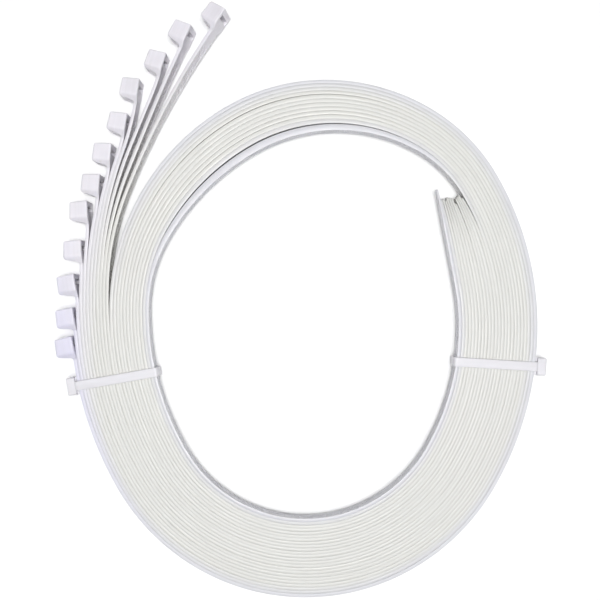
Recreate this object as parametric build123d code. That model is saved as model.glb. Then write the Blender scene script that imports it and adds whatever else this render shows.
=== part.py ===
from build123d import *
import os
from math import cos, degrees, radians, sin

# A bundle of twelve extra-long cable ties, coiled flat and held by two small cable ties.
# Millimetres and degrees. Z is up and the bundle lies on the plane Z = 0.
# A strap stands on edge: its width runs along Z and its thickness across the coil.
# Angles on the coil are the direction of the outward normal, anticlockwise seen from above.

# Long tie
TIES = 12
TIE_LENGTH = 1200.0
STRAP_WIDTH = 9.0
STRAP_THICK = 1.65
TAIL_THICK = 0.8
TAIL_RUN = 48.0
PITCH = 1.702
TAIL_PITCH = 0.86

# Head of a long tie, in its own frame: u along the strap towards the free end,
# v outwards from the strap's toothed face, w along the strap's width
HEAD_LENGTH = 11.6
HEAD_WIDTH = 13.5
HEAD_DEPTH_NECK = 9.5
HEAD_DEPTH_END = 9.1
HEAD_END_DRAFT = 0.7
HEAD_FOOT = 1.6
UNDERSIDE_FOOT = 0.2
UNDERSIDE_RISE = 2.5
NECK_RUN = 0.8
SHOULDER_START = -0.5
SHOULDER_END = 2.8
HEAD_CORNER = 0.8
POCKET_START = 3.4
POCKET_WIDTH = 8.2
POCKET_FLOOR = 0.8
SLOT_START = 6.2
SLOT_END = 8.3
SLOT_WIDTH = 9.8

# Pawl of a long tie
PAWL_WIDTH = 8.0
PAWL_ROOT = 0.6
PAWL_ROOT_V = 1.5
PAWL_REACH = 6.2
PAWL_FACE = 0.85
PAWL_TOOTH_PITCH = 1.25
PAWL_TOOTH_HEIGHT = 0.6
PAWL_TEETH = 3
TOOTH_UNDERCUT = 0.2
PAWL_LEAN = 12.0
RUNNING_GAP = 0.05

# Coil: radii of the bundle's outer face, arc after arc, from the leftmost point on
LEFT = 180.0
ARC_SWEEP = 30.0
COIL_START = (-120.358, -5.587)
LAP_RADII = (185.5, 113.0, 112.0, 112.5, 115.0, 167.5)
TOP_RADII = (None, 96.0, 108.0, None, 122.5, 123.0)
TOP_SLACK = (0.0, -14.4, -2.7, None, None, -28.4)
LOOSE_STEPS = (0.03, 0.03, 0.03, 0.12, 0.05, 0.07, 0.07, 0.07, 0.09, 0.10, 0.34)
TAIL_START = 10.5

# Head side: the straps leave the coil at HEAD_SPLIT and spread towards their heads
HEAD_SPLIT = 188.0
LEAVE_RADIUS = 234.0
LEAVE_SWEEP = 10.0
SPREAD_RADII = (
    144.0, 172.0, 205.0, 228.0, 230.0, 232.0, 234.0, 420.0, 1200.0, 1200.0, 1200.0, 1200.0,
)
SPREAD_SWEEP = 20.0
END_RADII = (420.0, 1200.0, 2000.0, 2000.0)
# Over its last stretch before the head a strap bends outwards, by these angles
NECK_BEND_RUNS = (0.0, 0.0, 14.0, 26.0, 10.0, 10.0, 10.0, 10.0, 6.0, 6.0, 5.0, 1.0)
NECK_BENDS = (0.0, 0.0, 5.0, 11.0, 9.0, 9.0, 6.0, 7.0, 5.0, 8.0, 3.0, 3.0)
# How far each tie's head end was pulled further along than its neighbours' (mm)
SLIPS = (-3.2, 2.2, 2.2, 3.2, 1.7, 2.0, 2.6, 5.4, 2.6, 1.8, 0.9, 2.6)
ROLLS = {1: 9.0, 2: 6.0}
ROLL_STATIONS = 5
SHORTEST_RUN = 0.1

# Retaining ties, in their own frame: x outwards from the bundle's outer face, y up
RETAINERS = {"left": 192.15, "right": 352.85}
RETAINER_SKEWS = {"left": -2.2, "right": 3.7}
RETAINER_WIDTH = 4.8
RETAINER_THICK = 1.2
RETAINER_GAP = 0.35
RETAINER_CORNER = 0.85
RETAINER_BEND = 1.6
RETAINER_HEAD_WIDTH = 9.2
RETAINER_HEAD_REACH = 6.3
RETAINER_HEAD_BOTTOM = 3.2
RETAINER_HEAD_TOP = 10.6
RETAINER_SLOT_HEIGHT = 7.6
RETAINER_SLOT_GAP = 0.1
RETAINER_POCKET_START = 1.5
RETAINER_POCKET_FLOOR = 4.9
RETAINER_PAWL_WIDTH = 4.0
RETAINER_PAWL_ROOT = 0.4
RETAINER_PAWL_REACH = 3.6
RETAINER_PAWL_FACE = 0.2
RETAINER_PAWL_TEETH = 3
RETAINER_PAWL_TOOTH_PITCH = 0.8
RETAINER_PAWL_TOOTH_HEIGHT = 0.2
RETAINER_PAWL_LEAN = 13.0

MID_HEIGHT = HEAD_WIDTH / 2
STRAP_BOTTOM = MID_HEIGHT - STRAP_WIDTH / 2
STRAP_TOP = MID_HEIGHT + STRAP_WIDTH / 2
STRAP_RUN = TIE_LENGTH - HEAD_LENGTH


def unit(angle):
    """Unit vector in the plane of the coil."""
    return Vector(cos(radians(angle)), sin(radians(angle)), 0)


def arc_step(radius, start, sweep):
    """Displacement along an arc whose normal turns from start by sweep."""
    return radius * (unit(start + sweep) - unit(start))


def close_arcs(before, radii, step):
    """Fill in the two free radii, so that before and radii together move by step."""
    angle = LEFT
    free = []
    for radius in before + radii:
        if radius is None:
            free.append(arc_step(1.0, angle, ARC_SWEEP))
        else:
            step -= arc_step(radius, angle, ARC_SWEEP)
        angle += ARC_SWEEP
    first, second = free
    scale = first.X * second.Y - first.Y * second.X
    solved = [
        (step.X * second.Y - step.Y * second.X) / scale,
        (first.X * step.Y - first.Y * step.X) / scale,
    ]
    return tuple(solved.pop(0) if radius is None else radius for radius in radii)


# One lap ends one bundle further in; the slack of the top span leaves its two ends alone
TOP = close_arcs(LAP_RADII, TOP_RADII, Vector(TIES * PITCH, 0, 0))
SLACK = close_arcs((0.0,) * len(LAP_RADII), TOP_SLACK, Vector(0, 0, 0))


def ribbon(start, heading, moves, thickness, end_thickness=None):
    """Closed face along a centre line of straight runs and tangent arcs.

    A move is ("run", length) or ("turn", radius, angle), with left turns positive.
    With end_thickness, the last move thins to it, slowly at first.
    """
    point = Vector(start)
    left_side = []
    right_side = []
    for index, move in enumerate(moves):
        across = unit(heading + 90)
        half = thickness / 2
        thins = end_thickness is not None and index == len(moves) - 1
        if move[0] == "run":
            after = point + move[1] * unit(heading)
            left_side.append(Line(point + half * across, after + half * across))
            right_side.append(Line(point - half * across, after - half * across))
        else:
            radius, angle = move[1:]
            side = 1 if angle > 0 else -1
            centre = point + side * radius * across
            first = heading - 90 * side
            after = centre + radius * unit(first + angle)
            middle = centre + radius * unit(first + angle / 2)
            if thins:
                half_mid = half - (thickness - end_thickness) / 8
                half_end = end_thickness / 2
                across_mid = unit(heading + angle / 2 + 90)
                across_end = unit(heading + angle + 90)
                for edges, sign in ((left_side, 1), (right_side, -1)):
                    edges.append(ThreePointArc(
                        point + sign * half * across,
                        middle + sign * half_mid * across_mid,
                        after + sign * half_end * across_end,
                    ))
            else:
                left_side.append(CenterArc(centre, radius - side * half, first, angle))
                right_side.append(CenterArc(centre, radius + side * half, first, angle))
            heading += angle
        point = after
    start_cap = Line(left_side[0] @ 0, right_side[0] @ 0)
    end_cap = Line(left_side[-1] @ 1, right_side[-1] @ 1)
    return Face(Wire([start_cap, *right_side, end_cap, *reversed(left_side)]))


def moves_length(moves):
    """Length of a centre line made of turns."""
    return sum(radius * radians(abs(angle)) for _, radius, angle in moves)


def strap_offset(tie):
    """Distance from the bundle's outer face in to the centre line of a tie's strap."""
    return (TIES - tie) * PITCH + STRAP_THICK / 2


def looseness(tie):
    """Share of the top span's slack that a tie has, from 0 outermost to 1 innermost."""
    return sum(LOOSE_STEPS[:TIES - tie])


def coil_moves(tie):
    """Turns of a strap from the head split, once round and on to its tail."""
    offset = strap_offset(tie)
    share = looseness(tie)
    first_lap = [("turn", radius - offset, ARC_SWEEP) for radius in LAP_RADII]
    first_lap[0] = ("turn", LAP_RADII[0] - offset, ARC_SWEEP - (HEAD_SPLIT - LEFT))
    top = [
        ("turn", radius + share * slack - offset, ARC_SWEEP)
        for radius, slack in zip(TOP, SLACK)
    ]
    inner = offset + TIES * PITCH
    second_lap = [("turn", radius - inner, ARC_SWEEP) for radius in LAP_RADII]
    lead = ("turn", TOP[0] - inner, TAIL_START)
    return first_lap + top + second_lap + [lead]


def tail_run(tie):
    """Length of a strap's thinning end: what the other end, pulled by its slip, leaves."""
    return TAIL_RUN - SLIPS[tie - 1]


def tail_thickness(tie):
    """Thickness at the very end of a strap: it thins with the square of the distance."""
    return STRAP_THICK - (STRAP_THICK - TAIL_THICK) * (tail_run(tie) / TAIL_RUN) ** 2


def tail_move(tie):
    """Last turn of a strap: the tails straighten, the innermost the most."""
    coiled_radius = TOP[0] - strap_offset(tie) - TIES * PITCH
    bend_step = 2 * (PITCH - TAIL_PITCH) / TAIL_RUN ** 2
    bend = 1 / coiled_radius - (TIES - tie) * bend_step
    return ("turn", 1 / abs(bend), degrees(tail_run(tie) * bend))


def head_moves(tie):
    """Turns of a strap from the head split back to its head, with the run that is left."""
    offset = strap_offset(tie)
    planned = [(LEAVE_RADIUS - offset, LEAVE_SWEEP), (SPREAD_RADII[tie - 1], SPREAD_SWEEP)]
    if tie <= len(END_RADII):
        planned.append((END_RADII[tie - 1], 90.0))
    bend_run = NECK_BEND_RUNS[tie - 1]
    bend = NECK_BENDS[tie - 1]
    left = STRAP_RUN - moves_length(coil_moves(tie)) - tail_run(tie) - bend_run
    moves = []
    for radius, sweep in planned:
        if left > SHORTEST_RUN:
            sweep = min(sweep, degrees(left / radius))
            moves.append(("turn", radius, sweep))
            left -= radius * radians(sweep)
    if bend_run:
        moves.append(("turn", bend_run / radians(bend), -bend))
    return moves


def walk_back(point, normal, moves):
    """Points and normals of the centre line at the ends of its backward turns."""
    places = [(point, normal)]
    for _, radius, sweep in moves:
        signed = radius if sweep > 0 else -radius
        point = point + arc_step(signed, normal, -sweep)
        normal -= sweep
        places.append((point, normal))
    return places


def strap_places(tie):
    """Backward turns of a tie's head side and where each of them starts and ends."""
    offset = strap_offset(tie)
    leftmost = Vector(COIL_START[0] + offset, COIL_START[1], 0)
    split = leftmost + arc_step(LAP_RADII[0] - offset, LEFT, HEAD_SPLIT - LEFT)
    moves = head_moves(tie)
    return moves, walk_back(split, HEAD_SPLIT, moves)


def rolled_plane(point, normal, roll):
    """Frame on a strap: x back towards the head, y outwards, z along the width.

    A strap that rolls also rises, so that its head's outer edge stays above Z = 0.
    """
    along = unit(normal - 90)
    rise = HEAD_DEPTH_NECK * sin(radians(roll)) - MID_HEIGHT * (1 - cos(radians(roll)))
    width = Vector(0, 0, cos(radians(roll))) + sin(radians(roll)) * unit(normal)
    return Plane(origin=point + Vector(0, 0, MID_HEIGHT + rise), x_dir=along, z_dir=width)


def head_plane(tie):
    """Frame of a tie's head: origin on the toothed face, in the middle of the width."""
    _, places = strap_places(tie)
    point, normal = places[-1]
    plane = rolled_plane(point, normal, ROLLS.get(tie, 0.0))
    return Plane(
        origin=plane.origin - plane.y_dir * STRAP_THICK / 2,
        x_dir=plane.x_dir,
        z_dir=plane.z_dir,
    )


def rolled_strap(radius, sweep, point, normal, roll):
    """Stretch of strap that rolls about its own centre line as it nears the head."""
    sections = []
    for station in range(ROLL_STATIONS + 1):
        share = station / ROLL_STATIONS
        turned = share * share * (3 - 2 * share)
        place = point + arc_step(radius, normal, -sweep * share)
        frame = rolled_plane(place, normal - sweep * share, roll * turned)
        cross = Plane(origin=frame.origin, x_dir=frame.y_dir, z_dir=frame.x_dir)
        sections.append(cross * Rectangle(STRAP_THICK, STRAP_WIDTH))
    return loft(sections)


def local_extrude(points, half_width, corners=()):
    """Prism on a closed outline in x and y, centred on the frame's z."""
    face = make_face(Polyline(*points, close=True))
    for x, y, radius in corners:
        vertex = face.vertices().sort_by_distance((x, y, 0))[0]
        face = fillet(vertex, radius)
    return extrude(Plane.XY.offset(-half_width) * face, 2 * half_width)


def tie_head():
    """Head of a long tie with its slot and the pocket of its pawl, in the head's frame."""
    outer_neck = (HEAD_FOOT, HEAD_DEPTH_NECK)
    outer_end = (HEAD_LENGTH - HEAD_END_DRAFT, HEAD_DEPTH_END)
    side = [
        (-NECK_RUN, 0),
        (HEAD_LENGTH, 0),
        outer_end,
        outer_neck,
        (UNDERSIDE_FOOT, UNDERSIDE_RISE),
        (-NECK_RUN, STRAP_THICK),
    ]
    corners = ((*outer_neck, HEAD_CORNER), (*outer_end, HEAD_CORNER))
    body = local_extrude(side, HEAD_WIDTH / 2, corners)
    face_outline = [
        (-NECK_RUN, -STRAP_WIDTH / 2),
        (SHOULDER_START, -STRAP_WIDTH / 2),
        (SHOULDER_END, -HEAD_WIDTH / 2),
        (HEAD_LENGTH, -HEAD_WIDTH / 2),
        (HEAD_LENGTH, HEAD_WIDTH / 2),
        (SHOULDER_END, HEAD_WIDTH / 2),
        (SHOULDER_START, STRAP_WIDTH / 2),
        (-NECK_RUN, STRAP_WIDTH / 2),
    ]
    outline = extrude(
        Plane.XZ * make_face(Polyline(*face_outline, close=True)),
        2 * HEAD_DEPTH_NECK,
        both=True,
    )
    through = 2 * HEAD_DEPTH_NECK
    slot = Pos((SLOT_START + SLOT_END) / 2, HEAD_DEPTH_NECK / 2, 0) * Box(
        SLOT_END - SLOT_START, through, SLOT_WIDTH
    )
    pocket = Pos((POCKET_START + SLOT_END) / 2, POCKET_FLOOR + through / 2, 0) * Box(
        SLOT_END - POCKET_START, through, POCKET_WIDTH
    )
    return (body & outline) - slot - pocket


def toothed_pawl(root, reach, face, teeth, tooth_pitch, tooth_height, width, lean):
    """Pawl with its rounded root on the origin, reaching along +y and leaning to +x."""
    rack_end = reach - teeth * tooth_pitch
    outline = [(-root, 0), (-root, reach), (face, reach)]
    for tooth in range(teeth):
        top = reach - tooth * tooth_pitch
        outline.append((face + tooth_height, top - TOOTH_UNDERCUT * tooth_pitch))
        outline.append((face, top - tooth_pitch))
    outline += [(root, rack_end / 2), (root, 0)]
    arm = local_extrude(outline, width / 2)
    pawl = arm + Cylinder(root, width)
    return Rot(0, 0, -lean) * pawl


def pawl_seat():
    """Centre of a long tie's pawl root in the head's frame."""
    return Vector(POCKET_START + RUNNING_GAP + PAWL_ROOT, PAWL_ROOT_V, 0)


def build_tie(tie):
    """One long tie: tail, coiled strap, spread strap end and head in one piece."""
    moves, places = strap_places(tie)
    roll = ROLLS.get(tie, 0.0)
    flat = len(moves) - 1 if roll else len(moves)
    point, normal = places[flat]
    backward = [("turn", radius, sweep) for _, radius, sweep in reversed(moves[:flat])]
    path = backward + coil_moves(tie) + [tail_move(tie)]
    face = ribbon(point, normal + 90, path, STRAP_THICK, tail_thickness(tie))
    solid = extrude(Pos(0, 0, STRAP_BOTTOM) * face, STRAP_WIDTH)
    if roll:
        _, radius, sweep = moves[flat]
        solid += rolled_strap(radius, sweep, point, normal, roll)
    return solid + head_plane(tie).location * tie_head()


def build_pawl(tie):
    """Locking pawl of a long tie, at rest in its head."""
    pawl = toothed_pawl(
        PAWL_ROOT, PAWL_REACH, PAWL_FACE, PAWL_TEETH, PAWL_TOOTH_PITCH,
        PAWL_TOOTH_HEIGHT, PAWL_WIDTH, PAWL_LEAN,
    )
    return head_plane(tie).location * Pos(pawl_seat()) * pawl


def outer_face_place(angle):
    """Point of the bundle's outer face on the first lap, for a normal angle of 180 to 360."""
    point = Vector(COIL_START[0], COIL_START[1], 0)
    start = LEFT
    for radius in LAP_RADII:
        sweep = min(ARC_SWEEP, angle - start)
        if sweep <= 0:
            break
        point += arc_step(radius, start, sweep)
        start += sweep
    return point


def retainer_plane(name):
    """Frame of a retaining tie on the bundle's outer face, a little askew to the straps."""
    place = outer_face_place(RETAINERS[name])
    angle = RETAINERS[name] + RETAINER_SKEWS[name]
    return Plane(origin=place, x_dir=unit(angle), z_dir=unit(angle - 90))


def retainer_moves():
    """Centre line of a retaining tie from its cut end, round the bundle, to its head."""
    half = RETAINER_THICK / 2
    wall = RETAINER_GAP + half
    run_in = RETAINER_HEAD_REACH - wall - RETAINER_BEND
    top = STRAP_TOP + wall
    bottom = STRAP_BOTTOM - wall
    corner = RETAINER_CORNER
    rise = top - corner - RETAINER_SLOT_HEIGHT - RETAINER_BEND
    across = 2 * TIES * PITCH + 2 * wall - 2 * corner
    down = top - bottom - 2 * corner
    return [
        ("run", run_in),
        ("turn", RETAINER_BEND, -90),
        ("run", rise),
        ("turn", corner, 90),
        ("run", across),
        ("turn", corner, 90),
        ("run", down),
        ("turn", corner, 90),
        ("run", across),
        ("turn", corner, 90),
        ("run", RETAINER_HEAD_BOTTOM + 0.5 - bottom - corner),
    ]


def retainer_strap(thickness, width, moves):
    """Strap of a retaining tie, from its cut end in the slot along the given moves."""
    start = (RETAINER_HEAD_REACH, RETAINER_SLOT_HEIGHT, 0)
    face = ribbon(start, 180.0, moves, thickness)
    return extrude(Plane.XY.offset(-width / 2) * face, width)


def build_retainer(name):
    """Retaining tie: loop, head and the end that passes through the slot, cut flush."""
    moves = retainer_moves()
    reach = RETAINER_HEAD_REACH
    bottom = RETAINER_HEAD_BOTTOM
    top = RETAINER_HEAD_TOP
    gap = RETAINER_GAP
    recess = gap + RETAINER_THICK + RETAINER_SLOT_GAP
    block = local_extrude(
        [
            (gap, bottom),
            (reach, bottom),
            (reach, top),
            (recess, top),
            (recess, RETAINER_SLOT_HEIGHT + RETAINER_BEND),
            (gap, RETAINER_SLOT_HEIGHT + RETAINER_THICK),
        ],
        RETAINER_HEAD_WIDTH / 2,
        ((reach, bottom, 0.5), (reach, top, 0.5)),
    )
    room = 2 * RETAINER_SLOT_GAP
    channel = retainer_strap(RETAINER_THICK + room, RETAINER_WIDTH + room, moves[:3])
    ceiling = RETAINER_SLOT_HEIGHT
    start = RETAINER_POCKET_START
    pocket = Pos((start + reach) / 2, (RETAINER_POCKET_FLOOR + ceiling) / 2, 0) * Box(
        reach - start, ceiling - RETAINER_POCKET_FLOOR, RETAINER_PAWL_WIDTH + room
    )
    head = block - channel - pocket
    strap = retainer_strap(RETAINER_THICK, RETAINER_WIDTH, moves)
    return retainer_plane(name).location * (head + strap)


def retainer_pawl_seat():
    """Centre of a retaining tie's pawl root in the tie's frame."""
    across = RETAINER_POCKET_START + RUNNING_GAP + RETAINER_PAWL_ROOT
    up = RETAINER_POCKET_FLOOR + RUNNING_GAP + RETAINER_PAWL_ROOT
    return Vector(across, up, 0)


def build_retainer_pawl(name):
    """Locking pawl of a retaining tie, under the strap in its slot."""
    pawl = toothed_pawl(
        RETAINER_PAWL_ROOT, RETAINER_PAWL_REACH, RETAINER_PAWL_FACE, RETAINER_PAWL_TEETH,
        RETAINER_PAWL_TOOTH_PITCH, RETAINER_PAWL_TOOTH_HEIGHT, RETAINER_PAWL_WIDTH, 0.0,
    )
    lying = Rot(0, 0, RETAINER_PAWL_LEAN) * Rot(180, 0, 0) * Rot(0, 0, -90) * pawl
    return retainer_plane(name).location * Pos(retainer_pawl_seat()) * lying


def all_nodes():
    """Every piece with its node name."""
    nodes = {}
    for tie in range(1, TIES + 1):
        nodes[f"tie_{tie:02d}"] = build_tie(tie)
        nodes[f"pawl_{tie:02d}"] = build_pawl(tie)
    for name in RETAINERS:
        nodes[f"retainer_{name}"] = build_retainer(name)
        nodes[f"retainer_pawl_{name}"] = build_retainer_pawl(name)
    return nodes


os.makedirs("parts", exist_ok=True)
NODES = all_nodes()
for node, shape in NODES.items():
    export_step(shape, f"parts/{node}.step")
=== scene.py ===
from cmath import exp
from math import cos, degrees, radians, sin, sqrt

import bmesh
import bpy
import numpy as np
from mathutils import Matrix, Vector


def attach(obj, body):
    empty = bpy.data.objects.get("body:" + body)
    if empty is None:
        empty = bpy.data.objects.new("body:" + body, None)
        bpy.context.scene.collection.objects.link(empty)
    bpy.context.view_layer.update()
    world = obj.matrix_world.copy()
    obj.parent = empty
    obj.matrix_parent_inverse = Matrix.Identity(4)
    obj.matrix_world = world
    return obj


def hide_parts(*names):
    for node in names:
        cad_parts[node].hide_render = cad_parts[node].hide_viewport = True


# A bundle of twelve cable ties, coiled flat and held by two small ones, seen from above.
# Lengths here are millimetres, turned to metres as each mesh is made.

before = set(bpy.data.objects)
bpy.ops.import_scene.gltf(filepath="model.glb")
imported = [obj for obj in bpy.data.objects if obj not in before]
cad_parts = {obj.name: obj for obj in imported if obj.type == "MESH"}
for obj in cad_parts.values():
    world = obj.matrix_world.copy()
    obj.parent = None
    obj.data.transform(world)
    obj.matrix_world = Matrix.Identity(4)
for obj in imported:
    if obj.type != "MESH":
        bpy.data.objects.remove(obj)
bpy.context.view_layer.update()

MM = 0.001
ROOT = "bundle"
SHARP_ANGLE = 34.0
TOUCHING = 1e-9

# Long tie
TIES = 12
TIE_LENGTH = 1200.0
STRAP_WIDTH = 9.0
STRAP_THICK = 1.65
STRAP_EDGE = 0.1
TAIL_THICK = 0.8
TAIL_RUN = 48.0
PITCH = 1.702
TAIL_PITCH = 0.86
TAIL_TAPER = 20.0
TAPER_POWER = 1.6
TAIL_TIP_WIDTH = 5.4
TIP_ROUNDING = 0.9
TIP_INSET = 0.45 * TAIL_TIP_WIDTH / 2
TIP_RINGS = (0.9, 0.6, 0.35, 0.15, 0.04, 0.0)
TIP_CLEAR = 1.2
EDGE_FADE = 0.5
EDGE_SHARE = 0.45
TIP_EDGE_SHARE = 0.35

# Its inner face: teeth in a shallow channel, then grip ridges; depths from the face
TOOTH_PITCH = 1.25
TOOTH_DEPTH = 0.42
TOOTH_TOP = 0.06
TOOTH_RISE = 0.8
CHANNEL_WIDTH = 6.0
CHANNEL_RIM = 0.5
CHANNEL_SLOPE = 0.15
SMOOTH_NECK = 9.0
SMOOTH_DEPTH = 0.02
SMOOTH_TIP = 3.0
GRIP_DEPTH = 0.16
GRIP_TOP = 0.03
GRIP_RUN = 0.9 * TAIL_RUN

# Slow rise and fall of a strap's edge, as sine waves: millimetres for each radian, radians of
# shift from tie to tie, and share
WOBBLE_HEIGHT = 0.09
WOBBLE_START = 25
WOBBLE_FADE = 60
WOBBLE_WAVES = ((71, 2.4, 1.0), (29, 4.1, 0.6))

# Head of a long tie, in its own frame: u along the strap towards the head's free end,
# v outwards from the strap's toothed face, w along the strap's width
HEAD_LENGTH = 11.6
HEAD_WIDTH = 13.5
HEAD_DEPTH_NECK = 9.5
HEAD_DEPTH_END = 9.1
HEAD_END_DRAFT = 0.7
HEAD_ROUND = 0.75
NECK_RUN = 0.8
SHOULDER_START = -0.5
SHOULDER_END = 2.8
POCKET_START = 3.4
POCKET_WIDTH = 8.2
POCKET_FLOOR = 0.8
SLOT_START = 6.2
SLOT_END = 8.3
SLOT_WIDTH = 9.8
SLOT_FUNNEL = 0.45
POCKET_INSET = 0.2
DRAFT_START = 8.5

# The same head's rings along u, then its depth, half width and edge radius against u
HEAD_RINGS = (
    -NECK_RUN, -0.5, -0.2, 0.0, 0.2, 0.45, 0.8, 1.2, 1.45, 1.65, 1.85, 2.1, 2.4,
    2.8, 3.3, 4.0, 6.0, 8.5, 10.2,
)
HEAD_DEPTHS = (
    (-NECK_RUN, STRAP_THICK), (-0.4, 1.9), (0.0, 2.25), (0.2, 2.6), (0.45, 3.7), (1.2, 7.4),
    (1.45, 8.4), (1.65, 8.85), (1.85, 9.12), (2.1, 9.3), (2.4, 9.42), (2.8, HEAD_DEPTH_NECK),
    (HEAD_LENGTH, HEAD_DEPTH_END),
)
HEAD_HALVES = (
    (SHOULDER_START, STRAP_WIDTH / 2), (-0.2, 4.66), (0.2, 4.92), (2.1, 6.22), (2.5, 6.47),
    (SHOULDER_END + 0.1, 6.62), (3.5, HEAD_WIDTH / 2),
)
HEAD_EDGES = ((-NECK_RUN, STRAP_EDGE), (1.0, 0.4), (3.2, HEAD_ROUND))
HEAD_END_ANGLES = (18, 36, 54, 70, 82, 90)
END_FLAT = 0.3

# Rounded edges of both kinds of head
EDGE_STEPS = 4
LEAST_EDGE = 0.12
EDGE_SUPPORT = 0.2

# Coil: radii of the bundle's outer face, arc after arc, from the leftmost point on. Both laps
# follow LAP_RADII on the lower half, and TOP_RADII is for the top span between them, where None
# is solved for. That span is loose: TOP_SLACK is added to its radii for the innermost strap,
# and LOOSE_STEPS shares that out from the outermost strap in.
LEFT = 180.0
ARC_SWEEP = 30.0
COIL_START = complex(-120.358, -5.587)
LAP_RADII = (185.5, 113.0, 112.0, 112.5, 115.0, 167.5)
TOP_RADII = (None, 96.0, 108.0, None, 122.5, 123.0)
TOP_SLACK = (0.0, -14.4, -2.7, None, None, -28.4)
LOOSE_STEPS = (0.03, 0.03, 0.03, 0.12, 0.05, 0.07, 0.07, 0.07, 0.09, 0.10, 0.34)
TAIL_START = 10.5

# Head side, tie after tie: the straps leave the coil at HEAD_SPLIT, spread, and bend outwards
# just before the head, and two of the heads are rolled. A slip is how much further along than
# its neighbours a tie was pulled.
HEAD_SPLIT = 188.0
LEAVE_RADIUS = 234.0
LEAVE_SWEEP = 10.0
SPREAD_RADII = (
    144.0, 172.0, 205.0, 228.0, 230.0, 232.0, 234.0, 420.0, 1200.0, 1200.0, 1200.0, 1200.0,
)
SPREAD_SWEEP = 20.0
END_RADII = (420.0, 1200.0, 2000.0, 2000.0)
NECK_BEND_RUNS = (0.0, 0.0, 14.0, 26.0, 10.0, 10.0, 10.0, 10.0, 6.0, 6.0, 5.0, 1.0)
NECK_BENDS = (0.0, 0.0, 5.0, 11.0, 9.0, 9.0, 6.0, 7.0, 5.0, 8.0, 3.0, 3.0)
SLIPS = (-3.2, 2.2, 2.2, 3.2, 1.7, 2.0, 2.6, 5.4, 2.6, 1.8, 0.9, 2.6)
ROLLS = {1: 9.0, 2: 6.0}
SHORTEST_RUN = 0.1

# Share of the gap to the next strap outwards that a strap fills on the loose top span,
# with the ties that differ under FILLS, and what every strap is thickened by all along
MOST_FILL = 0.95
SNUG_FILL = 0.04
FILLS = {8: 0.65, 4: 0.8, 3: 0.8, 1: 0.72}

# Retaining ties, in their own frame: x outwards from the bundle's outer face, y up
RETAINERS = {"left": 192.15, "right": 352.85}
RETAINER_SKEWS = {"left": -2.2, "right": 3.7}
RETAINER_WIDTH = 4.8
RETAINER_THICK = 1.2
RETAINER_EDGE = 0.3
RETAINER_EDGE_STEPS = 3
RETAINER_GAP = 0.35
RETAINER_CORNER = 0.85
RETAINER_BEND = 1.6
RETAINER_BEND_STEPS = 8
RETAINER_RING_RUN = 1.5
RETAINER_END_RUN = 0.5
RETAINER_HEAD_WIDTH = 9.2
RETAINER_HEAD_REACH = 6.3
RETAINER_HEAD_BOTTOM = 3.2
RETAINER_HEAD_TOP = 10.6
RETAINER_HEAD_ROUND = 0.8
RETAINER_HEAD_FLAT = 2.0
RETAINER_HEAD_ANGLES = (0, 20, 40, 60, 75, 90)
RETAINER_SLOT_HEIGHT = 7.6
RETAINER_SLOT_GAP = 0.1
RETAINER_POCKET_START = 1.5
RETAINER_POCKET_FLOOR = 4.9
RETAINER_PAWL_WIDTH = 4.0
CUT_OVERRUN = 2.0

MID_HEIGHT = HEAD_WIDTH / 2
STRAP_BOTTOM = MID_HEIGHT - STRAP_WIDTH / 2
STRAP_TOP = MID_HEIGHT + STRAP_WIDTH / 2
STRAP_RUN = TIE_LENGTH - HEAD_LENGTH

# Each vertex of a long tie has a mark: its distance from the head, its place across the strap
# plus TIE_MARK for each tie, and its place along the strap's width. Cool tints depend on it, and
# so does a painted shade. The head's tint fades out over TINT_RUN. That of the bundle's outer edge,
# a cool tint darkened as painted shade, comes in over OUTER_TIES and fades out over OUTER_LAP_END.
# That of its inner edge, also a cool tint darkened as painted shade, fades out over INNER_TIES and
# comes in over INNER_LAP_START.
TIE_MARK = 10.0
TINT_RUN = (8.0, 110.0)
OUTER_LAP_END = (690.0, 780.0)
INNER_LAP_START = (560.0, 620.0)
OUTER_TIES = (92.0, 119.0)
INNER_TIES = (12.0, 30.0)

# Nylon: scale of each noise along the three parts of a mark, the clouds' share of the tint,
# and the spread of noise that makes the tint and the roughness go from end to end
STREAKS = (0.02, 0.9, 0.7)
CLOUDS = (0.05, 0.07, 0.12)
GRAIN = (2.2, 2.6, 3.4)
CLOUD_SHARE = 0.55
TINT_SPREAD = 0.16
CLOUD_RANGE = (0.3, 0.7)
ROUGHNESS_RANGE = (0.34, 0.5)

# Camera, in metres: straight above a point near the middle of the bundle
CAMERA_CENTRE = (-0.00082, -0.00006)
CAMERA_HEIGHT = 0.453
CAMERA_ANGLE = 38.9

# Square lights, in metres and watts, which all face the bundle: name, place, side, power
LIGHTS = (
    ("overhead", (0.04, -0.05, 1.4), 0.6, 19.0),
    ("left_fill", (-1.2, 0.2, 0.8), 1.0, 0.8),
    ("right_fill", (1.2, -0.5, 0.8), 1.0, 0.8),
)
FLOOR_HALF = 3.0


# Centre lines, as complex numbers in the plane of the coil

def unit(angle):
    """Unit vector at an angle in degrees."""
    return exp(1j * radians(angle))


def arc_step(radius, start, sweep):
    """Displacement along an arc whose outward normal turns from start by sweep."""
    return radius * (unit(start + sweep) - unit(start))


def close_arcs(before, radii, step):
    """Fill in the two free radii, so that before and radii together move by step."""
    angle = LEFT
    free = []
    for radius in before + radii:
        if radius is None:
            free.append(arc_step(1.0, angle, ARC_SWEEP))
        else:
            step -= arc_step(radius, angle, ARC_SWEEP)
        angle += ARC_SWEEP
    first, second = free
    scale = first.real * second.imag - first.imag * second.real
    solved = [
        (step.real * second.imag - step.imag * second.real) / scale,
        (first.real * step.imag - first.imag * step.real) / scale,
    ]
    return tuple(solved.pop(0) if radius is None else radius for radius in radii)


TOP = close_arcs(LAP_RADII, TOP_RADII, complex(TIES * PITCH, 0))
SLACK = close_arcs((0.0,) * len(LAP_RADII), TOP_SLACK, 0j)


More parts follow.
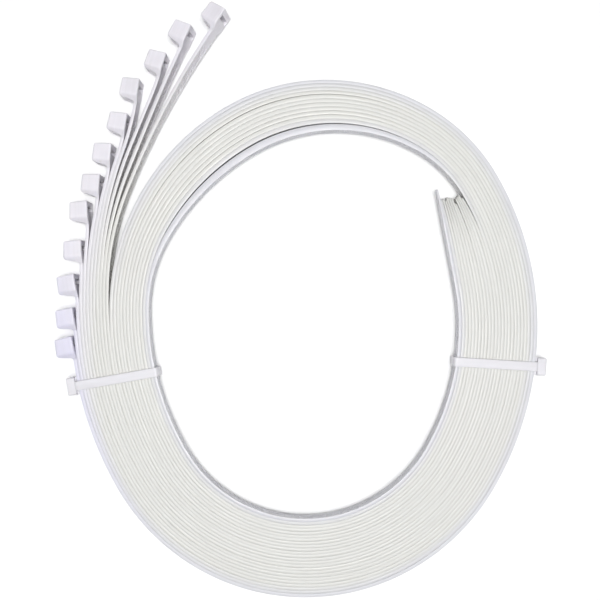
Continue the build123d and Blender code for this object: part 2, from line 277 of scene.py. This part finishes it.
def turns_length(turns):
    """Length of a line made of (radius, sweep) turns."""
    return sum(radius * radians(abs(sweep)) for radius, sweep in turns)


def strap_offset(tie):
    """Distance from the bundle's outer face in to the centre line of a tie's strap."""
    return (TIES - tie) * PITCH + STRAP_THICK / 2


def coil_turns(tie):
    """Turns of a strap from the head split, once round and on to its tail."""
    offset = strap_offset(tie)
    share = sum(LOOSE_STEPS[:TIES - tie])
    first_lap = [(radius - offset, ARC_SWEEP) for radius in LAP_RADII]
    first_lap[0] = (LAP_RADII[0] - offset, ARC_SWEEP - (HEAD_SPLIT - LEFT))
    top = [
        (radius + share * slack - offset, ARC_SWEEP) for radius, slack in zip(TOP, SLACK)
    ]
    inner = offset + TIES * PITCH
    second_lap = [(radius - inner, ARC_SWEEP) for radius in LAP_RADII]
    return first_lap + top + second_lap + [(TOP[0] - inner, TAIL_START)]


def tail_run(tie):
    """Length of a strap's thinning end."""
    return TAIL_RUN - SLIPS[tie - 1]


def tail_turn(tie):
    """Last turn of a strap: the tails straighten, the innermost the most."""
    coiled_radius = TOP[0] - strap_offset(tie) - TIES * PITCH
    bend_step = 2 * (PITCH - TAIL_PITCH) / TAIL_RUN ** 2
    bend = 1 / coiled_radius - (TIES - tie) * bend_step
    return (1 / abs(bend), degrees(tail_run(tie) * bend))


def head_turns(tie):
    """Turns of a strap from the head split back to its head."""
    offset = strap_offset(tie)
    planned = [(LEAVE_RADIUS - offset, LEAVE_SWEEP), (SPREAD_RADII[tie - 1], SPREAD_SWEEP)]
    if tie <= len(END_RADII):
        planned.append((END_RADII[tie - 1], 90.0))
    bend_run = NECK_BEND_RUNS[tie - 1]
    bend = NECK_BENDS[tie - 1]
    left = STRAP_RUN - turns_length(coil_turns(tie)) - tail_run(tie) - bend_run
    turns = []
    for radius, sweep in planned:
        if left > SHORTEST_RUN:
            sweep = min(sweep, degrees(left / radius))
            turns.append((radius, sweep))
            left -= radius * radians(sweep)
    if bend_run:
        turns.append((bend_run / radians(bend), -bend))
    return turns


def strap_line(tie):
    """Start point, start normal and turns of a strap's centre line, from head to tail."""
    offset = strap_offset(tie)
    point = COIL_START + offset
    point += arc_step(LAP_RADII[0] - offset, LEFT, HEAD_SPLIT - LEFT)
    normal = HEAD_SPLIT
    back = head_turns(tie)
    for radius, sweep in back:
        signed = radius if sweep > 0 else -radius
        point += arc_step(signed, normal, -sweep)
        normal -= sweep
    return point, normal, back[::-1] + coil_turns(tie) + [tail_turn(tie)]


def along_line(point, normal, turns, stations):
    """Points and normal angles of a line of turns at each station, a distance from its start."""
    ends = np.cumsum([0.0] + [turns_length([turn]) for turn in turns])
    points = np.zeros(len(stations), complex)
    normals = np.zeros(len(stations))
    for index, (radius, sweep) in enumerate(turns):
        signed = radius if sweep > 0 else -radius
        inside = stations >= ends[index] - TOUCHING
        angles = normal + np.degrees((stations[inside] - ends[index]) / signed)
        points[inside] = point + signed * (np.exp(1j * np.radians(angles)) - unit(normal))
        normals[inside] = angles
        point += arc_step(signed, normal, sweep)
        normal += sweep
    return points, normals


# Meshes, as lists of vertices and faces that are gathered and then made into one object

class Shape:
    """Vertices, faces and the place of each vertex on its strap, gathered for one object."""

    def __init__(self):
        self.points = []
        self.faces = []
        self.marks = []

    def add(self, points, faces, marks):
        """Add a closed piece: its points, its faces and a mark for each point."""
        first = sum(len(block) for block in self.points)
        self.points.append(np.asarray(points, float))
        self.marks.append(np.asarray(marks, float))
        self.faces += [tuple(first + corner for corner in face) for face in faces]

    def make(self, name, material, replaced):
        """Turn the gathered pieces into one object that stands for CAD nodes."""
        mesh = bpy.data.meshes.new(name)
        mesh.from_pydata((np.concatenate(self.points) * MM).tolist(), [], self.faces)
        mark = mesh.attributes.new("strap_place", "FLOAT_VECTOR", "POINT")
        mark.data.foreach_set("vector", np.concatenate(self.marks).ravel())
        mesh.polygons.foreach_set("use_smooth", [True] * len(mesh.polygons))
        mesh.set_sharp_from_angle(angle=radians(SHARP_ANGLE))
        mesh.materials.append(material)
        made = bpy.data.objects.new(name, mesh)
        bpy.context.scene.collection.objects.link(made)
        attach(made, ROOT)
        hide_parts(replaced)
        return made


def tube_faces(rings, corners):
    """Faces of a closed tube of rings, with a cap at each end."""
    faces = []
    for ring in range(rings - 1):
        low = ring * corners
        for corner in range(corners):
            after = (corner + 1) % corners
            faces.append((low + corner, low + after, low + corners + after, low + corners + corner))
    faces.append(tuple(range(corners - 1, -1, -1)))
    faces.append(tuple(range((rings - 1) * corners, rings * corners)))
    return faces


def rounded_section(low, high, half, edge, steps):
    """Corners of a rounded rectangle in (v, w), anticlockwise seen from the strap's end."""
    corners = []
    quarters = ((high - edge, half - edge, 0), (low + edge, half - edge, 90),
                (low + edge, edge - half, 180), (high - edge, edge - half, 270))
    for v, w, start in quarters:
        for step in range(steps + 1):
            angle = radians(start + 90 * step / steps)
            corners.append((v + edge * cos(angle), w + edge * sin(angle)))
    return corners


def supported_section(low, high, half, edge):
    """Rounded rectangle with an extra corner on each side of each rounding, to keep flats flat."""
    corners = rounded_section(low, high, half, edge, EDGE_STEPS)
    count = EDGE_STEPS + 1
    ways = ((0, -1), (1, 0), (0, 1), (-1, 0))
    held = []
    for quarter in range(4):
        before = ways[quarter]
        after = ways[(quarter + 1) % 4]
        arc = corners[quarter * count:(quarter + 1) * count]
        v, w = arc[0]
        held.append((v + EDGE_SUPPORT * before[0], w + EDGE_SUPPORT * before[1]))
        held += arc
        v, w = arc[-1]
        held.append((v - EDGE_SUPPORT * after[0], w - EDGE_SUPPORT * after[1]))
    return held


def temporary(points, faces):
    """Object for carving, with its faces turned outwards."""
    mesh = bpy.data.meshes.new("temporary")
    mesh.from_pydata([tuple(point) for point in points], [], faces)
    work = bmesh.new()
    work.from_mesh(mesh)
    bmesh.ops.recalc_face_normals(work, faces=work.faces)
    work.to_mesh(mesh)
    work.free()
    made = bpy.data.objects.new("temporary", mesh)
    bpy.context.scene.collection.objects.link(made)
    return made


def carve(block, cutters):
    """Points and faces of a block, given as (points, faces), with each cutter taken out."""
    body = temporary(*block)
    tools = [temporary(*cutter) for cutter in cutters]
    for tool in tools:
        cut = body.modifiers.new("cut", "BOOLEAN")
        cut.operation = "DIFFERENCE"
        cut.solver = "EXACT"
        cut.object = tool
    graph = bpy.context.evaluated_depsgraph_get()
    result = bpy.data.meshes.new_from_object(body.evaluated_get(graph))
    points = [tuple(vertex.co) for vertex in result.vertices]
    faces = [tuple(face.vertices) for face in result.polygons]
    for used in [body] + tools:
        bpy.data.objects.remove(used)
    return np.array(points), faces


def box_block(low, high):
    """Points and faces of a box."""
    points = [(x, y, z) for x in (low[0], high[0]) for y in (low[1], high[1])
              for z in (low[2], high[2])]
    faces = [(0, 1, 3, 2), (4, 6, 7, 5), (0, 4, 5, 1), (2, 3, 7, 6), (0, 2, 6, 4), (1, 5, 7, 3)]
    return points, faces


def funnel_block(middle, size, rim, depth):
    """Wedge-sided mouth of a slot, wider by a rim at v = 0 and narrowing to the slot inside."""
    points = []
    for v, grow in ((-depth, 2 * rim), (depth, 0.0)):
        for side_u, side_w in ((-1, -1), (1, -1), (1, 1), (-1, 1)):
            u = middle[0] + side_u * (size[0] / 2 + grow)
            points.append((u, v, middle[1] + side_w * (size[1] / 2 + grow)))
    faces = [(0, 1, 2, 3), (7, 6, 5, 4)]
    faces += [(i, (i + 1) % 4, 4 + (i + 1) % 4, 4 + i) for i in range(4)]
    return points, faces


# Long ties

def tie_frames(tie, stations):
    """Centre, outward, width and head-ward vectors of a tie's strap at each station."""
    point, normal, turns = strap_line(tie)
    places, normals = along_line(point, normal, turns, stations)
    rolled_length = turns_length(turns[:1])
    share = np.clip(1 - stations / rolled_length, 0, 1)
    roll = np.radians(ROLLS.get(tie, 0.0)) * share * share * (3 - 2 * share)
    rise = HEAD_DEPTH_NECK * np.sin(roll) - MID_HEIGHT * (1 - np.cos(roll))
    angles = np.radians(normals)
    flat = np.zeros(len(stations))
    up = np.stack([flat, flat, flat + 1], axis=1)
    normal_out = np.stack([np.cos(angles), np.sin(angles), flat], axis=1)
    width = up * np.cos(roll)[:, None] + normal_out * np.sin(roll)[:, None]
    outward = normal_out * np.cos(roll)[:, None] - up * np.sin(roll)[:, None]
    headward = np.stack([np.sin(angles), -np.cos(angles), flat], axis=1)
    centre = np.stack([places.real, places.imag, MID_HEIGHT + rise], axis=1)
    return centre, outward, width, headward


def strap_stations():
    """Distances from the head at which a strap's section is drawn, two for each tooth."""
    teeth = int((STRAP_RUN - NECK_RUN) / TOOTH_PITCH)
    roots = NECK_RUN + TOOTH_PITCH * np.arange(teeth)
    tips = roots + TOOTH_RISE * TOOTH_PITCH
    end_rounding = STRAP_RUN - np.array(TIP_RINGS)
    inside = np.sort(np.concatenate([roots, tips]))
    return np.concatenate([inside[inside < STRAP_RUN - TIP_CLEAR], end_rounding])


def wobble(tie, stations):
    """Slow rise and fall of a strap's edge along the coil, none near its head."""
    settled = np.clip((stations - WOBBLE_START) / WOBBLE_FADE, 0, 1)
    waves = sum(
        share * np.sin(stations / length + shift * tie) for length, shift, share in WOBBLE_WAVES
    )
    return WOBBLE_HEIGHT * settled * waves


def spread_gap(tie, stations):
    """Part of the gap to the next strap outwards, on the top span, that a strap fills."""
    point, normal, turns = strap_line(tie)
    _, normals = along_line(point, normal, turns, stations)
    shift = np.zeros(len(stations), complex)
    start = LEFT + ARC_SWEEP * len(LAP_RADII)
    for slack in SLACK:
        angles = start + np.clip(normals - start, 0, ARC_SWEEP)
        shift += slack * (np.exp(1j * np.radians(angles)) - unit(start))
        start += ARC_SWEEP
    inward = -(shift * np.exp(-1j * np.radians(normals))).real
    inward[normals > start] = 0
    step = LOOSE_STEPS[TIES - tie - 1] if tie < TIES else 0.0
    return FILLS.get(tie, MOST_FILL) * step * np.maximum(inward, 0)


def channel_depth(stations):
    """Depth of a strap's channel: toothed, ridged for grip on the tail, smooth at both ends."""
    to_end = STRAP_RUN - stations
    at_tip = np.arange(len(stations)) % 2 == 1
    past_neck = stations > SMOOTH_NECK
    toothed = past_neck & (to_end > GRIP_RUN)
    gripping = past_neck & (to_end > SMOOTH_TIP)
    grip = np.where(gripping, np.where(at_tip, GRIP_TOP, GRIP_DEPTH), SMOOTH_DEPTH)
    return np.where(toothed, np.where(at_tip, TOOTH_TOP, TOOTH_DEPTH), grip)


def build_strap(shape, tie):
    """The strap of a long tie: rounded edges, toothed channel and tapering tail."""
    stations = strap_stations()
    centre, outward, width, _ = tie_frames(tie, stations)
    centre[:, 2] += wobble(tie, stations)
    to_end = STRAP_RUN - stations
    tail = np.clip(1 - to_end / TAIL_RUN, 0, 1)
    thick = STRAP_THICK - (STRAP_THICK - TAIL_THICK) * tail ** 2
    taper = np.clip(1 - to_end / TAIL_TAPER, 0, 1)
    half = (STRAP_WIDTH - (STRAP_WIDTH - TAIL_TIP_WIDTH) * taper ** TAPER_POWER) / 2
    half -= TIP_INSET * np.clip(1 - to_end / TIP_ROUNDING, 0, 1) ** 2
    fading = np.clip(to_end / EDGE_FADE + TIP_EDGE_SHARE, 0, 1)
    edge = np.minimum(STRAP_EDGE, EDGE_SHARE * thick * fading)
    depth = channel_depth(stations)
    channel = np.minimum(CHANNEL_WIDTH / 2, half - edge - CHANNEL_RIM)
    rim = channel + CHANNEL_SLOPE
    bevel = edge * (1 - sqrt(0.5))
    zero = np.zeros(len(stations))
    outer = thick + spread_gap(tie, stations) + SNUG_FILL
    section = [
        (outer, half - edge), (outer - bevel, half - bevel), (outer - edge, half),
        (edge, half), (bevel, half - bevel), (zero, half - edge),
        (zero, rim), (depth, channel), (depth, -channel), (zero, -rim),
        (zero, edge - half), (bevel, bevel - half), (edge, -half),
        (outer - edge, -half), (outer - bevel, bevel - half), (outer, edge - half),
    ]
    across = np.stack([v for v, _ in section], axis=1)
    wide = np.stack([w for _, w in section], axis=1)
    points = (
        centre[:, None, :]
        + outward[:, None, :] * (across - thick[:, None] / 2)[:, :, None]
        + width[:, None, :] * wide[:, :, None]
    )
    marks = np.stack([
        np.repeat(stations, len(section)),
        across.ravel() + TIE_MARK * tie,
        wide.ravel(),
    ], axis=1)
    shape.add(points.reshape(-1, 3), tube_faces(len(stations), len(section)), marks)


def head_template():
    """Head of a long tie, in its own frame, with its slot, pocket and funnel carved."""
    end = HEAD_LENGTH - HEAD_ROUND
    rounding = [end + HEAD_ROUND * sin(radians(angle)) for angle in HEAD_END_ANGLES]
    lengthways = [*HEAD_RINGS, end - END_FLAT, end, *rounding]
    points = []
    for u in lengthways:
        depth = np.interp(u, *zip(*HEAD_DEPTHS))
        half = np.interp(u, *zip(*HEAD_HALVES))
        edge = np.interp(u, *zip(*HEAD_EDGES))
        past = max(0.0, u - end)
        inset = HEAD_ROUND - sqrt(max(0.0, HEAD_ROUND ** 2 - past ** 2))
        edge = max(edge - inset, LEAST_EDGE)
        ring = supported_section(inset, depth - inset, half - inset, edge)
        lean = HEAD_END_DRAFT * max(0.0, (u - DRAFT_START) / (HEAD_LENGTH - DRAFT_START))
        points += [(u - lean * v / HEAD_DEPTH_END, v, w) for v, w in ring]
    faces = tube_faces(len(lengthways), len(points) // len(lengthways))
    far = 2 * HEAD_DEPTH_NECK
    slot = box_block((SLOT_START, -1, -SLOT_WIDTH / 2), (SLOT_END, far, SLOT_WIDTH / 2))
    pocket = box_block(
        (POCKET_START, POCKET_FLOOR, -POCKET_WIDTH / 2),
        (SLOT_END - POCKET_INSET, far + 1, POCKET_WIDTH / 2),
    )
    mouth = funnel_block(
        ((SLOT_START + SLOT_END) / 2, 0.0), (SLOT_END - SLOT_START, SLOT_WIDTH),
        SLOT_FUNNEL / 2, SLOT_FUNNEL,
    )
    return carve((points, faces), [slot, pocket, mouth])


def build_head(shape, tie, template):
    """The head of a long tie, at the end of its strap."""
    points, faces = template
    centre, outward, width, headward = tie_frames(tie, np.array([0.0]))
    origin = centre[0] - outward[0] * STRAP_THICK / 2
    placed = (
        origin
        + points[:, 0:1] * headward[0]
        + points[:, 1:2] * outward[0]
        + points[:, 2:3] * width[0]
    )
    marks = np.stack([-points[:, 0], points[:, 1] + TIE_MARK * tie, points[:, 2]], axis=1)
    shape.add(placed, faces, marks)


# Retaining ties

def outer_face_place(angle):
    """Point of the bundle's outer face on the first lap, for a normal angle of 180 to 360."""
    point = COIL_START
    start = LEFT
    for radius in LAP_RADII:
        sweep = min(ARC_SWEEP, angle - start)
        if sweep <= 0:
            break
        point += arc_step(radius, start, sweep)
        start += sweep
    return point


def retainer_moves():
    """Run, radius and turn of each stretch of a retaining tie, from its cut end to its head."""
    half = RETAINER_THICK / 2
    wall = RETAINER_GAP + half
    top = STRAP_TOP + wall
    bottom = STRAP_BOTTOM - wall
    corner = RETAINER_CORNER
    across = 2 * TIES * PITCH + 2 * wall - 2 * corner
    down = top - bottom - 2 * corner
    return [
        (RETAINER_HEAD_REACH - wall - RETAINER_BEND, RETAINER_BEND, -90),
        (top - corner - RETAINER_SLOT_HEIGHT - RETAINER_BEND, corner, 90),
        (across, corner, 90),
        (down, corner, 90),
        (across, corner, 90),
        (RETAINER_HEAD_BOTTOM + RETAINER_END_RUN - bottom - corner, corner, 0),
    ]


def retainer_line(moves):
    """Centre line along a retaining tie's moves, as points and headings."""
    point = complex(RETAINER_HEAD_REACH, RETAINER_SLOT_HEIGHT)
    heading = 180.0
    line = []
    for run, radius, angle in moves:
        pieces = max(2, int(run / RETAINER_RING_RUN))
        for piece in range(pieces):
            line.append((point + run * piece / pieces * unit(heading), heading))
        point += run * unit(heading)
        steps = RETAINER_BEND_STEPS if angle else 0
        side = 1 if angle > 0 else -1
        centre = point + side * radius * unit(heading + 90)
        for step in range(steps):
            turned = angle * step / steps
            line.append((centre - side * radius * unit(heading + turned + 90), heading + turned))
        point = centre - side * radius * unit(heading + angle + 90)
        heading += angle
    line.append((point, heading))
    return line


def sweep_section(line, section):
    """Points and faces of a section swept along a line in a retaining tie's own frame."""
    points = []
    for place, heading in line:
        left = unit(heading + 90)
        for v, w in section:
            points.append((place.real + v * left.real, place.imag + v * left.imag, w))
    return points, tube_faces(len(line), len(section))


def retainer_head():
    """Head of a retaining tie, in its own frame, with its channel and pocket carved."""
    start = RETAINER_GAP
    end = RETAINER_HEAD_REACH
    edge = RETAINER_HEAD_ROUND
    steps = [edge * (1 - cos(radians(angle))) for angle in RETAINER_HEAD_ANGLES]
    near = [start + step for step in steps] + [start + RETAINER_HEAD_FLAT]
    far = [end - RETAINER_HEAD_FLAT] + [end - step for step in reversed(steps)]
    points = []
    for x in near + far:
        past = max(start + edge - x, x - (end - edge), 0.0)
        inset = edge - sqrt(max(0.0, edge ** 2 - past ** 2))
        ring = supported_section(
            RETAINER_HEAD_BOTTOM + inset, RETAINER_HEAD_TOP - inset,
            RETAINER_HEAD_WIDTH / 2 - inset, max(edge - inset, LEAST_EDGE),
        )
        points += [(x, y, z) for y, z in ring]
    rings = len(near) + len(far)
    faces = tube_faces(rings, len(points) // rings)
    room = RETAINER_SLOT_GAP
    half_thick = RETAINER_THICK / 2 + room
    half_width = RETAINER_WIDTH / 2 + room
    channel_section = [(half_thick, half_width), (-half_thick, half_width),
                       (-half_thick, -half_width), (half_thick, -half_width)]
    bend, rise = retainer_moves()[:2]
    line = retainer_line([bend, (rise[0] + CUT_OVERRUN, rise[1], 0)])
    line[0] = (line[0][0] + CUT_OVERRUN, line[0][1])
    channel = sweep_section(line, channel_section)
    recess = RETAINER_GAP + RETAINER_THICK + RETAINER_SLOT_GAP
    wide = RETAINER_HEAD_WIDTH
    step = box_block(
        (-CUT_OVERRUN, RETAINER_SLOT_HEIGHT + RETAINER_THICK, -wide),
        (recess, 2 * RETAINER_HEAD_TOP, wide),
    )
    pocket = box_block(
        (RETAINER_POCKET_START, RETAINER_POCKET_FLOOR, -RETAINER_PAWL_WIDTH / 2 - room),
        (end + CUT_OVERRUN, RETAINER_SLOT_HEIGHT, RETAINER_PAWL_WIDTH / 2 + room),
    )
    return carve((points, faces), [step, channel, pocket])


def build_retainer(name, material):
    """One retaining tie: its loop round the bundle and its head."""
    origin = outer_face_place(RETAINERS[name])
    angle = RETAINERS[name] + RETAINER_SKEWS[name]
    out = unit(angle)
    along = unit(angle - 90)
    half = RETAINER_THICK / 2
    section = rounded_section(
        -half, half, RETAINER_WIDTH / 2, RETAINER_EDGE, RETAINER_EDGE_STEPS
    )
    loop = sweep_section(retainer_line(retainer_moves()), section)
    shape = Shape()
    for points, faces in (loop, retainer_head()):
        placed = []
        for x, y, z in points:
            spot = origin + x * out + z * along
            placed.append((spot.real, spot.imag, y))
        shape.add(placed, faces, points)
    return shape.make("small_tie_" + name, material, "retainer_" + name)


# Materials

def nylon(name, pale, deep, head_tint=(1.0, 1.0, 1.0), edge_tint_and_shade=(1.0, 1.0, 1.0)):
    """Translucent moulded nylon: flow streaks, faint clouding and a fine satin grain.

    The head and the strap next to it have a cooler tint than the coiled strap. The straps along the
    bundle's outer and inner edge have a cooler tint too, made darker as painted shade, standing in
    for the shade on the side faces seen at those edges.
    """
    material = bpy.data.materials.new(name)
    material.use_nodes = True
    nodes = material.node_tree.nodes
    links = material.node_tree.links
    shader = nodes["Principled BSDF"]
    place = nodes.new("ShaderNodeAttribute")
    place.attribute_name = "strap_place"

    def stretched_noise(scale, detail):
        mapping = nodes.new("ShaderNodeMapping")
        mapping.inputs["Scale"].default_value = scale
        links.new(place.outputs["Vector"], mapping.inputs["Vector"])
        noise = nodes.new("ShaderNodeTexNoise")
        noise.inputs["Scale"].default_value = 1.0
        noise.inputs["Detail"].default_value = detail
        links.new(mapping.outputs["Vector"], noise.inputs["Vector"])
        return noise.outputs["Fac"]

    def ranged(value, low, high, to_low, to_high):
        ranges = nodes.new("ShaderNodeMapRange")
        ranges.inputs["From Min"].default_value = low
        ranges.inputs["From Max"].default_value = high
        ranges.inputs["To Min"].default_value = to_low
        ranges.inputs["To Max"].default_value = to_high
        links.new(value, ranges.inputs["Value"])
        return ranges.outputs["Result"]

    def combined(operation, first, second):
        maths = nodes.new("ShaderNodeMath")
        maths.operation = operation
        links.new(first, maths.inputs[0])
        links.new(second, maths.inputs[1])
        return maths.outputs["Value"]

    def tinted(colour, tint, share):
        mix = nodes.new("ShaderNodeMix")
        mix.data_type = "RGBA"
        mix.blend_type = "MULTIPLY"
        mix.inputs["B"].default_value = (*tint, 1)
        links.new(share, mix.inputs["Factor"])
        links.new(colour, mix.inputs["A"])
        return mix.outputs["Result"]

    streaks = stretched_noise(STREAKS, 3.0)
    clouds = stretched_noise(CLOUDS, 2.0)
    grain = stretched_noise(GRAIN, 2.0)
    blend = nodes.new("ShaderNodeMix")
    blend.data_type = "FLOAT"
    blend.inputs["Factor"].default_value = CLOUD_SHARE
    links.new(streaks, blend.inputs["A"])
    links.new(clouds, blend.inputs["B"])
    shade = nodes.new("ShaderNodeMix")
    shade.data_type = "RGBA"
    shade.inputs["A"].default_value = (*deep, 1)
    shade.inputs["B"].default_value = (*pale, 1)
    share = ranged(blend.outputs["Result"], 0.5 - TINT_SPREAD, 0.5 + TINT_SPREAD, 0, 1)
    links.new(share, shade.inputs["Factor"])
    split = nodes.new("ShaderNodeSeparateXYZ")
    links.new(place.outputs["Vector"], split.inputs["Vector"])
    along, across = split.outputs["X"], split.outputs["Y"]
    # Painted shade: the straps along the bundle's outer and inner edge are darkened, with a slight
    # bluish tint, for the shade on the side faces seen there
    outer_edge = combined(
        "MULTIPLY", ranged(across, *OUTER_TIES, 0, 1), ranged(along, *OUTER_LAP_END, 1, 0)
    )
    inner_edge = combined(
        "MULTIPLY", ranged(across, *INNER_TIES, 1, 0), ranged(along, *INNER_LAP_START, 0, 1)
    )
    at_shaded_edge = combined("MAXIMUM", outer_edge, inner_edge)
    edges = tinted(shade.outputs["Result"], edge_tint_and_shade, at_shaded_edge)
    whole = tinted(edges, head_tint, ranged(along, *TINT_RUN, 1, 0))
    links.new(whole, shader.inputs["Base Color"])
    links.new(ranged(clouds, *CLOUD_RANGE, *ROUGHNESS_RANGE), shader.inputs["Roughness"])
    bump = nodes.new("ShaderNodeBump")
    bump.inputs["Strength"].default_value = 0.12
    bump.inputs["Distance"].default_value = 0.00012
    links.new(grain, bump.inputs["Height"])
    links.new(bump.outputs["Normal"], shader.inputs["Normal"])
    shader.inputs["Subsurface Weight"].default_value = 0.45
    shader.inputs["Subsurface Radius"].default_value = (1.0, 0.95, 0.9)
    shader.inputs["Subsurface Scale"].default_value = 0.0025
    shader.inputs["Specular IOR Level"].default_value = 0.45
    return material


def pale_floor():
    """Plain pale floor under the bundle."""
    mesh = bpy.data.meshes.new("floor")
    side = FLOOR_HALF
    corners = [(-side, -side, 0), (side, -side, 0), (side, side, 0), (-side, side, 0)]
    mesh.from_pydata(corners, [], [(0, 1, 2, 3)])
    material = bpy.data.materials.new("pale_floor")
    material.use_nodes = True
    shader = material.node_tree.nodes["Principled BSDF"]
    shader.inputs["Base Color"].default_value = (0.93, 0.93, 0.93, 1)
    shader.inputs["Roughness"].default_value = 0.9
    mesh.materials.append(material)
    made = bpy.data.objects.new("floor", mesh)
    bpy.context.scene.collection.objects.link(made)


def softbox(name, place, side, power):
    """Square soft light that faces the middle of the bundle."""
    light = bpy.data.lights.new(name, "AREA")
    light.shape = "SQUARE"
    light.size = side
    light.energy = power
    made = bpy.data.objects.new(name, light)
    made.location = place
    made.rotation_euler = (-Vector(place)).to_track_quat("-Z", "Y").to_euler()
    bpy.context.scene.collection.objects.link(made)


def studio():
    """One soft light overhead, two weak ones at the sides, and the camera straight above."""
    for light in LIGHTS:
        softbox(*light)
    world = bpy.data.worlds.new("studio")
    world.use_nodes = True
    sky = world.node_tree.nodes["Background"]
    sky.inputs["Color"].default_value = (0.97, 0.98, 1.0, 1)
    sky.inputs["Strength"].default_value = 0.22
    bpy.context.scene.world = world
    camera = bpy.data.cameras.new("camera")
    camera.angle = radians(CAMERA_ANGLE)
    made = bpy.data.objects.new("camera", camera)
    made.location = (*CAMERA_CENTRE, CAMERA_HEIGHT)
    bpy.context.scene.collection.objects.link(made)
    bpy.context.scene.camera = made
    bpy.context.scene.view_settings.view_transform = "Standard"


# The tint for the bundle's outer and inner edge is painted shade, darker, with a slight bluish cast
natural = nylon(
    "natural_nylon", (0.69, 0.685, 0.658), (0.635, 0.63, 0.598),
    head_tint=(1.075, 1.055, 1.175), edge_tint_and_shade=(0.93, 0.935, 1.03),
)
cool = nylon("cool_nylon", (0.71, 0.70, 0.735), (0.66, 0.65, 0.68))

head = head_template()
for tie in range(1, TIES + 1):
    shape = Shape()
    build_strap(shape, tie)
    build_head(shape, tie, head)
    shape.make(f"cable_tie_{tie:02d}", natural, f"tie_{tie:02d}")
for side in RETAINERS:
    build_retainer(side, cool)
for node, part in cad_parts.items():
    if "pawl" in node:
        part.data.materials.clear()
        part.data.materials.append(cool if "retainer" in node else natural)
pale_floor()
studio()
